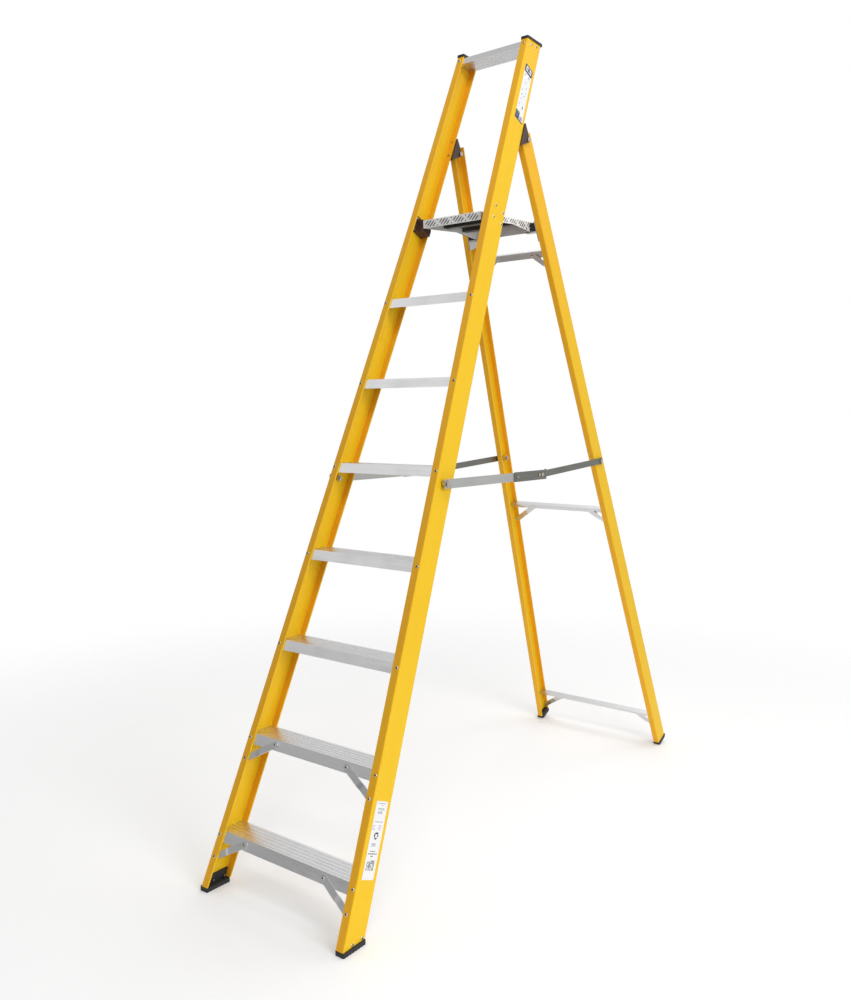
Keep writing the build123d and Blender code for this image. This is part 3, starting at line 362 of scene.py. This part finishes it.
def clipped(start, end, outline):
    """The part of a segment inside a convex outline that runs clockwise, or None."""
    near, far = 0.0, 1.0
    run = (end[0] - start[0], end[1] - start[1])
    for corner, following in zip(outline, outline[1:] + outline[:1]):
        side = (following[0] - corner[0], following[1] - corner[1])
        inward = (side[1], -side[0])
        distance = (start[0] - corner[0]) * inward[0] + (start[1] - corner[1]) * inward[1]
        slope = run[0] * inward[0] + run[1] * inward[1]
        if abs(slope) < PARALLEL:
            if distance < 0:
                return None
            continue
        crossing = -distance / slope
        if slope > 0:
            near = max(near, crossing)
        else:
            far = min(far, crossing)
    if far <= near:
        return None
    return tuple((start[0] + run[0] * share, start[1] + run[1] * share) for share in (near, far))


ROW_SHIFT = -0.0125 + BLOCK / math.sqrt(2)      # puts one row of blocks at the middle of the skirts


def chequer_bars(outline):
    """Centre lines of the bars inside a convex outline."""
    lines = []
    for i in range(-BLOCKS_EACH_WAY, BLOCKS_EACH_WAY):
        for j in range(-BLOCKS_EACH_WAY, BLOCKS_EACH_WAY):
            centre = ((i + j) * BLOCK / math.sqrt(2), (i - j) * BLOCK / math.sqrt(2) + ROW_SHIFT)
            slant = SLANT if (i + j) % 2 else -SLANT
            run = (math.cos(slant), math.sin(slant))
            for step in range(BARS):
                shift = (step - (BARS - 1) / 2) * BAR_PITCH
                middle = (centre[0] - run[1] * shift, centre[1] + run[0] * shift)
                start = tuple(m - r * BAR_LENGTH / 2 for m, r in zip(middle, run))
                end = tuple(m + r * BAR_LENGTH / 2 for m, r in zip(middle, run))
                line = clipped(start, end, outline)
                if line and math.dist(*line) > BAR_SHORTEST:
                    lines.append(line)
    return lines


def add_bar(vertices, faces, start, end, height, to_world):
    """One raised bar: a long lens with a rounded top, sunk slightly into the sheet."""
    length = math.dist(start, end)
    run = ((end[0] - start[0]) / length, (end[1] - start[1]) / length)
    across = (-run[1], run[0])
    rings = ((1.0, -BAR_SUNK), (0.72, 0.75 * height), (0.30, height))
    base = len(vertices)
    for scale, level in rings:
        loop = list(zip(BAR_SHARES, BAR_WIDTHS))
        loop += [(share, -width) for share, width in reversed(loop)]
        for share, width in loop:
            place = 0.5 + (share - 0.5) * (1 - (1 - scale) * BAR_WIDTH / length)
            point = [start[axis] + (end[axis] - start[axis]) * place
                     + across[axis] * width * scale * BAR_WIDTH / 2 for axis in (0, 1)]
            vertices.append(to_world(point[0], point[1], level))
    count = 2 * len(BAR_SHARES)
    for ring in range(len(rings) - 1):
        for step in range(count):
            nxt = (step + 1) % count
            low, high = base + ring * count, base + (ring + 1) * count
            faces.append((low + step, low + nxt, high + nxt, high + step))
    faces.append(tuple(base + (len(rings) - 1) * count + step for step in range(count)))
    faces.append(tuple(base + step for step in reversed(range(count))))


# the deck's own plane: across, along the deck from its front edge, and out of its top
DECK_RISE = math.radians(4.0)
DECK_FRONT_BACK = 0.784        # its front edge, behind the stiles' front face on the floor
DECK_FRONT_HIGH = 1.9079
DECK_FRONT = Vector((0, FRONT_Y + DECK_FRONT_BACK, DECK_FRONT_HIGH))
DECK_LENGTH = 0.299
DECK_HALF = 0.108
FRONT_SKIRT, WAIST, WAIST_AT, REAR_SKIRT = 0.025, 0.0185, 0.182, 0.033


def on_deck(x, along, out):
    return DECK_FRONT + Vector((x, along * math.cos(DECK_RISE) - out * math.sin(DECK_RISE),
                                along * math.sin(DECK_RISE) + out * math.cos(DECK_RISE)))


def side_outlines(edge):
    """The side skirt in two convex parts, as (along, up) inside its edges."""
    fore = [(edge, -edge), (WAIST_AT, -edge), (WAIST_AT, -WAIST + edge), (edge, -FRONT_SKIRT + edge)]
    aft = [(WAIST_AT, -edge), (DECK_LENGTH - edge, -edge), (DECK_LENGTH - edge, -REAR_SKIRT + edge),
           (WAIST_AT, -WAIST + edge)]
    return [fore, aft]


def rectangle(low_u, high_u, low_v, high_v):
    return [(low_u, high_v), (high_u, high_v), (high_u, low_v), (low_u, low_v)]


EDGE = 0.0024
across_front = rectangle(-DECK_HALF + EDGE, DECK_HALF - EDGE, -FRONT_SKIRT + EDGE, -EDGE)
across_rear = rectangle(-DECK_HALF + EDGE, DECK_HALF - EDGE, -REAR_SKIRT + EDGE, -EDGE)
across_top = rectangle(-DECK_HALF + EDGE, DECK_HALF - EDGE, EDGE, DECK_LENGTH - EDGE)
left_outlines = [[(DECK_LENGTH - u, v) for u, v in reversed(part)] for part in side_outlines(EDGE)]
panels = (
    ("platform_bars_top", [across_top], BAR_HEIGHT, on_deck),
    ("platform_bars_front", [across_front], SKIRT_BAR_HEIGHT, lambda u, v, out: on_deck(u, -out, v)),
    ("platform_bars_rear", [across_rear], SKIRT_BAR_HEIGHT,
     lambda u, v, out: on_deck(-u, DECK_LENGTH + out, v)),
    ("platform_bars_right", side_outlines(EDGE), SKIRT_BAR_HEIGHT,
     lambda u, v, out: on_deck(DECK_HALF + out, u, v)),
    ("platform_bars_left", left_outlines, SKIRT_BAR_HEIGHT,
     lambda u, v, out: on_deck(-DECK_HALF - out, DECK_LENGTH - u, v)),
)
for name, outlines, lift, to_world in panels:
    vertices, faces = [], []
    for outline in outlines:
        for start, end in chequer_bars(outline):
            add_bar(vertices, faces, start, end, lift, to_world)
    flank = 2 * len(BAR_SHARES)                  # faces of a bar's lowest ring, which take the darker painted shade
    per_bar = 2 * flank + 2
    bar_shade_kinds = [1 if number % per_bar < flank else 0 for number in range(len(faces))]
    new_piece(name, vertices, faces, [looks["bar_shaded_aluminium"], looks["bar_flank_shade"]], "platform",
              bar_shade_kinds, smooth=True)

# ---------------------------------------------------------------- stickers
WHITE, GREY, DARK, BLUE, GREEN, LILAC, PALE = range(7)
inks = [printed("sticker_white", (0.88, 0.88, 0.88)), printed("sticker_grey", (0.20, 0.19, 0.24)),
        printed("sticker_dark", (0.014, 0.015, 0.020)), printed("sticker_blue", (0.06, 0.09, 0.28)),
        printed("sticker_green", (0.05, 0.26, 0.18)), printed("sticker_lilac", (0.34, 0.32, 0.58)),
        printed("sticker_pale", (0.70, 0.70, 0.82))]
STICKER_GAP = 0.00002          # film's underside off the stile
STICKER_LIFT = 0.00030
INK_LIFT = 0.00008
STICKER_CORNER = 0.003
BLOCK_ROUNDING = 0.15          # corner radius as a share of a block's short side
MARK_SHORTEST, MARK_LONGEST, MARK_GAP = 0.003, 0.010, 0.0014


def rounded(low, high, radius, steps=5):
    """Outline of a rectangle with round corners, as (across, along)."""
    points = []
    for corner in range(4):
        centre = (high[0] - radius if corner in (0, 3) else low[0] + radius,
                  high[1] - radius if corner in (0, 1) else low[1] + radius)
        for step in range(steps + 1):
            angle = math.pi / 2 * (corner + step / steps)
            points.append((centre[0] + radius * math.cos(angle), centre[1] + radius * math.sin(angle)))
    return points


def sticker(name, body, low, high, blocks, to_world):
    """A thin film with printed blocks: each is (low, high, ink) and, on top of others, its layer."""
    vertices, faces, colours = [], [], []

    def slab(outline, bottom, top, colour):
        base = len(vertices)
        count = len(outline)
        vertices.extend(to_world(u, v, bottom) for u, v in outline)
        vertices.extend(to_world(u, v, top) for u, v in outline)
        faces.append(tuple(range(base + count, base + 2 * count)))
        faces.append(tuple(reversed(range(base, base + count))))
        faces.extend((base + i, base + (i + 1) % count, base + count + (i + 1) % count, base + count + i)
                     for i in range(count))
        colours.extend([colour] * (count + 2))

    slab(rounded(low, high, STICKER_CORNER), STICKER_GAP, STICKER_LIFT, WHITE)
    for block_low, block_high, colour, *layer in blocks:
        short = min(block_high[0] - block_low[0], block_high[1] - block_low[1])
        top = STICKER_LIFT + INK_LIFT * (1 + sum(layer))
        slab(rounded(block_low, block_high, short * BLOCK_ROUNDING, 2), STICKER_LIFT, top, colour)
    return new_piece(name, vertices, faces, inks, body, colours)


def on_right_web(deep, along, out):
    """Point on the right stile's outer face; deep and along are the sticker's axes."""
    return on_front(stile_half(along) + out, along, deep)


def text_line(low_deep, high_deep, along, thick, colour):
    """One printed line as a row of short bars of uneven length."""
    row = []
    start = low_deep
    while start < high_deep - MARK_SHORTEST:
        end = min(start + rng.uniform(MARK_SHORTEST, MARK_LONGEST), high_deep)
        row.append(((start, along), (end, along + thick), colour))
        start = end + MARK_GAP
    return row


SEED = 7
rng = random.Random(SEED)
lower_marks = []
for line in ((0.021, 0.056, 0.3600, 0.0018, LILAC), (0.038, 0.044, 0.3555, 0.0014, GREY),
             (0.027, 0.054, 0.3475, 0.0016, GREEN), (0.029, 0.054, 0.3445, 0.0014, GREY),
             (0.028, 0.051, 0.3390, 0.0020, GREY), (0.029, 0.051, 0.3360, 0.0020, LILAC),
             (0.023, 0.056, 0.3155, 0.0014, GREY)):
    lower_marks += text_line(*line)
for column_low, column_high in ((0.018, 0.031), (0.042, 0.055)):
    for along in (0.3070, 0.3035, 0.3000, 0.2965):
        lower_marks += text_line(column_low, column_high, along, 0.0012, LILAC)
lower_marks += [((0.035, 0.2870), (0.047, 0.2912), DARK), ((0.031, 0.2790), (0.036, 0.2885), DARK),
                ((0.044, 0.2800), (0.048, 0.2865), DARK), ((0.034, 0.2755), (0.044, 0.2785), DARK),
                ((0.037, 0.2735), (0.041, 0.2752), DARK)]
PATCH, PATCH_PITCH = (0.0032, 0.0018), (0.0042, 0.0027)
for row in range(3):
    for column in range(4):
        corner = (0.028 + column * PATCH_PITCH[0], 0.2580 + row * PATCH_PITCH[1])
        far_corner = (corner[0] + PATCH[0], corner[1] + PATCH[1])
        lower_marks.append((corner, far_corner, (GREEN, LILAC)[(row + column) % 2]))
lower_marks += text_line(0.027, 0.049, 0.2455, 0.0016, DARK) + text_line(0.021, 0.057, 0.2390, 0.0022, DARK)
lower_marks += [((0.033, 0.2336), (0.042, 0.2356), DARK)]
DOT, DOT_FILL, DOT_SHARE = 0.0030, 0.86, 0.68    # pitch of the dots, their size in it, share printed
for row in range(8):
    for column in range(10):
        if rng.random() < DOT_SHARE:
            corner = (0.0235 + column * DOT, 0.2010 + row * DOT)
            far_corner = (corner[0] + DOT * DOT_FILL, corner[1] + DOT * DOT_FILL)
            lower_marks.append((corner, far_corner, GREY if column % 3 else DARK))
sticker("sticker_lower", "front_frame", (0.016, 0.179), (0.063, 0.366), lower_marks, on_right_web)

upper_marks = [((0.0190, 2.5625), (0.0630, 2.5900), DARK), ((0.0255, 2.5690), (0.0575, 2.5860), PALE, 1),
               ((0.0360, 2.5715), (0.0460, 2.5825), DARK, 2),
               ((0.0285, 2.5740), (0.0345, 2.5800), LILAC, 2),
               ((0.0490, 2.5735), (0.0550, 2.5790), LILAC, 2)]
upper_marks += [((0.026, 2.5505), (0.030, 2.5560), GREEN), ((0.0455, 2.5500), (0.0530, 2.5580), LILAC),
                ((0.0475, 2.5520), (0.0510, 2.5560), PALE, 1)]
SPECK_DEEP, SPECK_ALONG = 0.0016, 0.0022         # half sizes
for deep, along, colour in ((0.047, 2.515, LILAC), (0.028, 2.498, GREEN), (0.031, 2.483, DARK),
                            (0.045, 2.4835, GREEN), (0.0305, 2.467, LILAC), (0.027, 2.448, GREEN),
                            (0.036, 2.528, GREEN), (0.052, 2.500, LILAC)):
    upper_marks.append(((deep - SPECK_DEEP, along - SPECK_ALONG), (deep + SPECK_DEEP, along + SPECK_ALONG),
                        colour))
for along in (2.540, 2.5345, 2.508, 2.4905, 2.4755, 2.4570, 2.4380):
    upper_marks += text_line(0.027, 0.055, along, 0.0010, PALE)
upper_marks += [((0.0460, 2.4405), (0.0515, 2.4500), GREY), ((0.0190, 2.3950), (0.0630, 2.3995), DARK),
                ((0.0190, 2.3985), (0.0410, 2.4230), DARK, 1),
                ((0.0225, 2.4140), (0.0370, 2.4210), GREEN, 2),
                ((0.0225, 2.4010), (0.0370, 2.4120), BLUE, 2), ((0.0440, 2.4005), (0.0595, 2.4130), LILAC)]
sticker("sticker_upper", "front_frame", (0.019, 2.395), (0.063, 2.590), upper_marks, on_right_web)

# ---------------------------------------------------------------- floor, light and camera
FLOOR_RADIUS = 40.0
FLOOR_SIDES = 96
FLOOR_TONES = ((0.94, 0.94, 0.94), (0.96, 0.96, 0.96))
FADE_START, FADE_END = 1.0, 3.4                  # the floor fades into the backdrop between these distances
floor_mesh = bpy.data.meshes.new("floor")
angles = [math.tau * i / FLOOR_SIDES for i in range(FLOOR_SIDES)]
ring = [(FLOOR_RADIUS * math.cos(angle), FLOOR_RADIUS * math.sin(angle), 0) for angle in angles]
floor_mesh.from_pydata(ring, [], [tuple(range(FLOOR_SIDES))])
floor = bpy.data.objects.new("floor", floor_mesh)
bpy.context.scene.collection.objects.link(floor)
paper = Shader("floor_paper", roughness=0.9, Emission_Strength=0.10, Emission_Color=(1, 1, 1, 1))
paper.colour(paper.blend(paper.noise(paper.place, 2.0), *FLOOR_TONES))
distance = paper.add("ShaderNodeVectorMath")
distance.operation = "LENGTH"
paper.join(paper.place, distance.inputs[0])
fade = paper.add("ShaderNodeMapRange")
fade.interpolation_type = "SMOOTHSTEP"
fade.inputs["From Min"].default_value = FADE_START
fade.inputs["From Max"].default_value = FADE_END
paper.join(distance.outputs["Value"], fade.inputs["Value"])
open_air = paper.add("ShaderNodeMixShader")
paper.join(fade.outputs[0], open_air.inputs[0])
paper.join(paper.surface.outputs[0], open_air.inputs[1])
paper.join(paper.add("ShaderNodeBsdfTransparent").outputs[0], open_air.inputs[2])
paper.join(open_air.outputs[0], paper.output.inputs["Surface"])
floor_mesh.materials.append(paper.material)

SKY_BASE = 0.27
SKY_OVERHEAD = 0.30
SKY_BEHIND = 0.62
PANEL_STRENGTH = 0.62
PANEL_TOWARD = (-0.65, -0.57, 0.50)              # a soft panel at the front left
world = bpy.data.worlds.new("studio")
world.use_nodes = True
sky = world.node_tree
sky.nodes.clear()


def sky_node(kind, **values):
    node = sky.nodes.new(kind)
    for label, value in values.items():
        node.inputs[label.replace("_", " ")].default_value = value
    return node


def sky_ramp(output, low, high, to_low, to_high):
    """Smooth step of one direction component."""
    node = sky_node("ShaderNodeMapRange", From_Min=low, From_Max=high, To_Min=to_low, To_Max=to_high)
    node.interpolation_type = "SMOOTHSTEP"
    sky.links.new(output, node.inputs["Value"])
    return node.outputs[0]


def sky_sum(first, second):
    node = sky.nodes.new("ShaderNodeMath")
    sky.links.new(first, node.inputs[0])
    sky.links.new(second, node.inputs[1])
    return node.outputs[0]


direction = sky_node("ShaderNodeSeparateXYZ")
sky.links.new(sky.nodes.new("ShaderNodeTexCoord").outputs["Generated"], direction.inputs[0])
overhead = sky_ramp(direction.outputs["Z"], 0.12, 0.75, 0.0, SKY_OVERHEAD)
behind = sky_ramp(direction.outputs["Y"], 0.0, 0.8, SKY_BASE, SKY_BASE + SKY_BEHIND)
toward = sky.nodes.new("ShaderNodeVectorMath")
toward.operation = "DOT_PRODUCT"
toward.inputs[1].default_value = Vector(PANEL_TOWARD).normalized()
sky.links.new(sky.nodes.new("ShaderNodeTexCoord").outputs["Generated"], toward.inputs[0])
panel = sky_ramp(toward.outputs["Value"], 0.91, 0.99, 0.0, PANEL_STRENGTH)
studio_light = sky_node("ShaderNodeBackground")
sky.links.new(sky_sum(sky_sum(overhead, behind), panel), studio_light.inputs["Strength"])
backdrop = sky_node("ShaderNodeBackground", Color=(1.0, 1.0, 1.0, 1.0), Strength=1.0)
choose = sky_node("ShaderNodeMixShader")
sky.links.new(sky.nodes.new("ShaderNodeLightPath").outputs["Is Camera Ray"], choose.inputs[0])
sky.links.new(studio_light.outputs[0], choose.inputs[1])
sky.links.new(backdrop.outputs[0], choose.inputs[2])
sky.links.new(choose.outputs[0], sky_node("ShaderNodeOutputWorld").inputs["Surface"])
bpy.context.scene.world = world


def area_light(name, location, target, size, power):
    light = bpy.data.lights.new(name, "AREA")
    light.shape = "RECTANGLE"
    light.size, light.size_y = size
    light.energy = power
    lamp = bpy.data.objects.new(name, light)
    lamp.location = location
    lamp.rotation_euler = (Vector(target) - Vector(location)).to_track_quat("-Z", "Y").to_euler()
    bpy.context.scene.collection.objects.link(lamp)


area_light("key", location=(4.4, -1.5, 2.2), target=(0, -0.3, 1.3), size=(2.4, 2.6), power=92)
area_light("front_high", location=(1.2, -1.4, 3.4), target=(0, 0, 2.3), size=(0.8, 0.8), power=17)
area_light("top", location=(0.2, 1.6, 4.7), target=(0, 0, 1.0), size=(3.2, 3.2), power=60)

CAMERA_PLACE = (1.6462, FRONT_Y - 1.5167, 1.2635)
CAMERA_AZIMUTH = math.radians(37.063)
CAMERA_TILT = -0.08139                           # radians
CAMERA_ROLL = 0.00667
LENS_MM, SENSOR_MM = 32.47, 36.0
heading = Vector((-math.sin(CAMERA_AZIMUTH) * math.cos(CAMERA_TILT),
                  math.cos(CAMERA_AZIMUTH) * math.cos(CAMERA_TILT), math.sin(CAMERA_TILT)))
level_right = Vector((math.cos(CAMERA_AZIMUTH), math.sin(CAMERA_AZIMUTH), 0))
level_up = level_right.cross(heading)
right = level_right * math.cos(CAMERA_ROLL) + level_up * math.sin(CAMERA_ROLL)
up = level_up * math.cos(CAMERA_ROLL) - level_right * math.sin(CAMERA_ROLL)
camera_data = bpy.data.cameras.new("camera")
camera_data.sensor_width = SENSOR_MM
camera_data.lens = LENS_MM
camera = bpy.data.objects.new("camera", camera_data)
axes = Matrix((right, up, -heading)).transposed()
camera.matrix_world = Matrix.Translation(CAMERA_PLACE) @ axes.to_4x4()
bpy.context.scene.collection.objects.link(camera)
bpy.context.scene.camera = camera
bpy.context.scene.view_settings.view_transform = "Standard"
